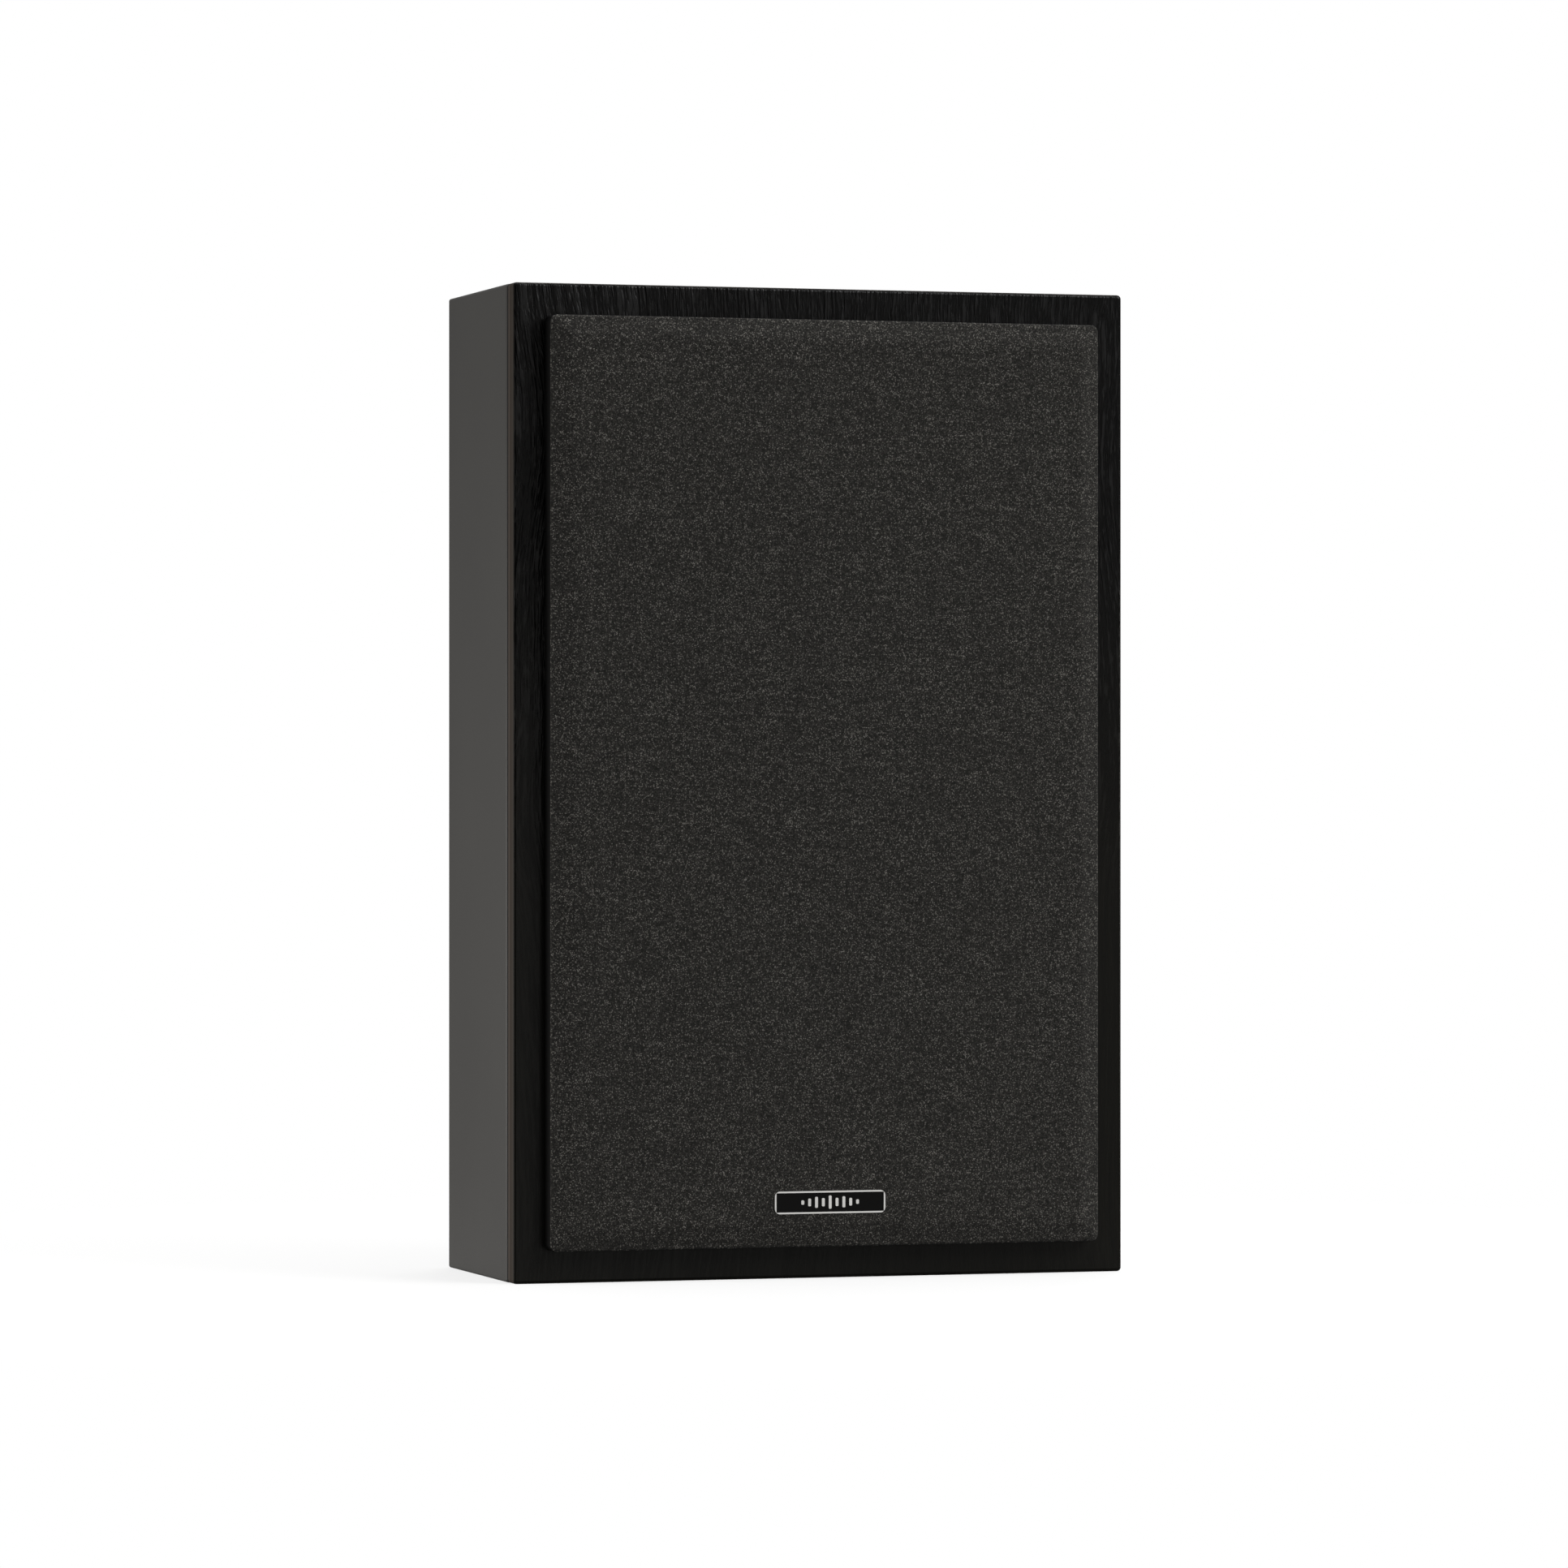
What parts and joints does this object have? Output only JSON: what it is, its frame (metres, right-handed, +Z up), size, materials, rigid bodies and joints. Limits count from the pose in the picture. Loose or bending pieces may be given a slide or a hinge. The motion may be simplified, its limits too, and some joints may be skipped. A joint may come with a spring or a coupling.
{
  "type": "bookshelf speaker",
  "caption": "Slim two-way bookshelf speaker: shallow laminated cabinet, full-height pull-off cloth grille, recessed rear binding posts and wall-hanging keyholes.",
  "frame": {"origin": "middle of the whole speaker's footprint, on the surface it stands on", "axes": "+Z up, the grille faces -Y, the terminals and keyholes face +Y, +X to the right seen from the front"},
  "size_m": [0.232, 0.1056, 0.36],
  "materials": {
    "front_laminate": "satin black oak laminate on MDF",
    "side_vinyl": "satin dark grey vinyl on MDF",
    "rear_board": "painted black MDF",
    "raw_mdf": "raw MDF",
    "wadding_fibre": "white polyester fibre",
    "grille_plastic": "black moulded plastic",
    "grille_fabric": "dark charcoal acoustic cloth",
    "badge_metal": "satin rim round a dark field",
    "badge_bars": "satin",
    "magnet_plated": "nickel plated",
    "ferrite": "dark ceramic magnet",
    "motor_steel": "zinc plated steel",
    "basket_paint": "black powder coat",
    "foam": "closed-cell foam",
    "surround_rubber": "matt butyl rubber",
    "cone_metal": "satin anodised",
    "spider_cloth": "phenolic-treated cotton",
    "former_kapton": "amber film",
    "copper_wire": "enamelled copper",
    "faceplate_plastic": "satin black",
    "mesh_steel": "black perforated steel",
    "dome_metal": "satin",
    "tab_tin": "tinned brass",
    "screw_black": "black oxide",
    "board_laminate": "green circuit laminate",
    "capacitor_film": "yellow film wrap",
    "resistor_cement": "white cement",
    "nylon_white": "nylon",
    "cup_plastic": "black moulded plastic",
    "post_gold": "gold plated brass",
    "knob_red": "clear red tint",
    "knob_black": "black",
    "bracket_zinc": "zinc plated",
    "bumper_rubber": "soft rubber",
    "wire_red": "PVC insulation",
    "wire_black": "PVC insulation"
  },
  "bodies": {
    "root": {"front_baffle": "front_laminate", "side_panel_left": "side_vinyl", "side_panel_right": "side_vinyl", "top_panel": "side_vinyl", "bottom_panel": "side_vinyl", "rear_panel": "rear_board", "window_brace": "raw_mdf", "wadding": "wadding_fibre", "baffle_magnets": "magnet_plated", "woofer_basket": "basket_paint", "woofer_gasket": "foam", "woofer_top_plate": "motor_steel", "woofer_magnet": "ferrite", "woofer_yoke": "motor_steel", "woofer_terminals": "tab_tin", "woofer_screws": "screw_black", "tweeter_faceplate": "faceplate_plastic", "tweeter_mesh": "mesh_steel", "tweeter_top_plate": "motor_steel", "tweeter_magnet": "ferrite", "tweeter_yoke": "motor_steel", "tweeter_rear_cup": "faceplate_plastic", "tweeter_terminals": "tab_tin", "tweeter_screws": "screw_black", "crossover_board": "board_laminate", "crossover_coils": "copper_wire", "crossover_capacitors": "capacitor_film", "crossover_resistors": "resistor_cement", "crossover_pillars": "nylon_white", "crossover_screws": "bracket_zinc", "terminal_cup": "cup_plastic", "terminal_gasket": "foam", "terminal_screws": "screw_black", "binding_posts": "post_gold", "post_nuts": "post_gold", "post_tags": "tab_tin", "keyhole_brackets": "bracket_zinc", "keyhole_screws": "bracket_zinc", "wall_bumpers": "bumper_rubber", "wires_red": "wire_red", "wires_black": "wire_black", "cable_clips": "nylon_white"},
    "grille": {"grille_frame": "grille_plastic", "grille_cloth": "grille_fabric", "badge_plate": "badge_metal", "badge_motif": "badge_bars", "grille_magnets": "magnet_plated"},
    "woofer_moving": {"woofer_cone": "cone_metal", "woofer_surround": "surround_rubber", "woofer_dust_cap": "cone_metal", "woofer_spider": "spider_cloth", "woofer_coil_former": "former_kapton", "woofer_voice_coil": "copper_wire"},
    "tweeter_moving": {"tweeter_dome": "dome_metal", "tweeter_surround": "surround_rubber", "tweeter_voice_coil": "copper_wire"},
    "washer_red": {"clamp_washer_red": "post_gold"},
    "knob_red": {"post_knob_red": "knob_red"},
    "washer_black": {"clamp_washer_black": "post_gold"},
    "knob_black": {"post_knob_black": "knob_black"}
  },
  "joints": [
    {"name": "grille_pull", "type": "slide", "parent": "root", "child": "grille", "axis": [0, -1, 0], "range_m": [0, 0.06]},
    {"name": "woofer_stroke", "type": "slide", "parent": "root", "child": "woofer_moving", "axis": [0, -1, 0], "range_m": [-0.004, 0.004], "stiffness_N_per_m": 1000, "deforming": ["woofer_surround", "woofer_spider"]},
    {"name": "tweeter_stroke", "type": "slide", "parent": "root", "child": "tweeter_moving", "axis": [0, -1, 0], "range_m": [-0.0003, 0.0003], "stiffness_N_per_m": 300, "deforming": ["tweeter_surround"]},
    {"name": "knob_red_travel", "type": "slide", "parent": "root", "child": "washer_red", "axis": [0, 1, 0], "range_m": [0, 0.004]},
    {"name": "knob_red_turn", "type": "hinge", "parent": "washer_red", "child": "knob_red", "pos_m": [-0.0095, 0.0378, 0.046], "axis": [0, 1, 0], "range_deg": [0, 1440]},
    {"name": "knob_black_travel", "type": "slide", "parent": "root", "child": "washer_black", "axis": [0, 1, 0], "range_m": [0, 0.004]},
    {"name": "knob_black_turn", "type": "hinge", "parent": "washer_black", "child": "knob_black", "pos_m": [0.0095, 0.0378, 0.046], "axis": [0, 1, 0], "range_deg": [0, 1440]}
  ],
  "couplings": [
    {"joint": "knob_red_turn", "follows": "knob_red_travel", "rad_per_m": 6283.2},
    {"joint": "knob_black_turn", "follows": "knob_black_travel", "rad_per_m": 6283.2}
  ]
}
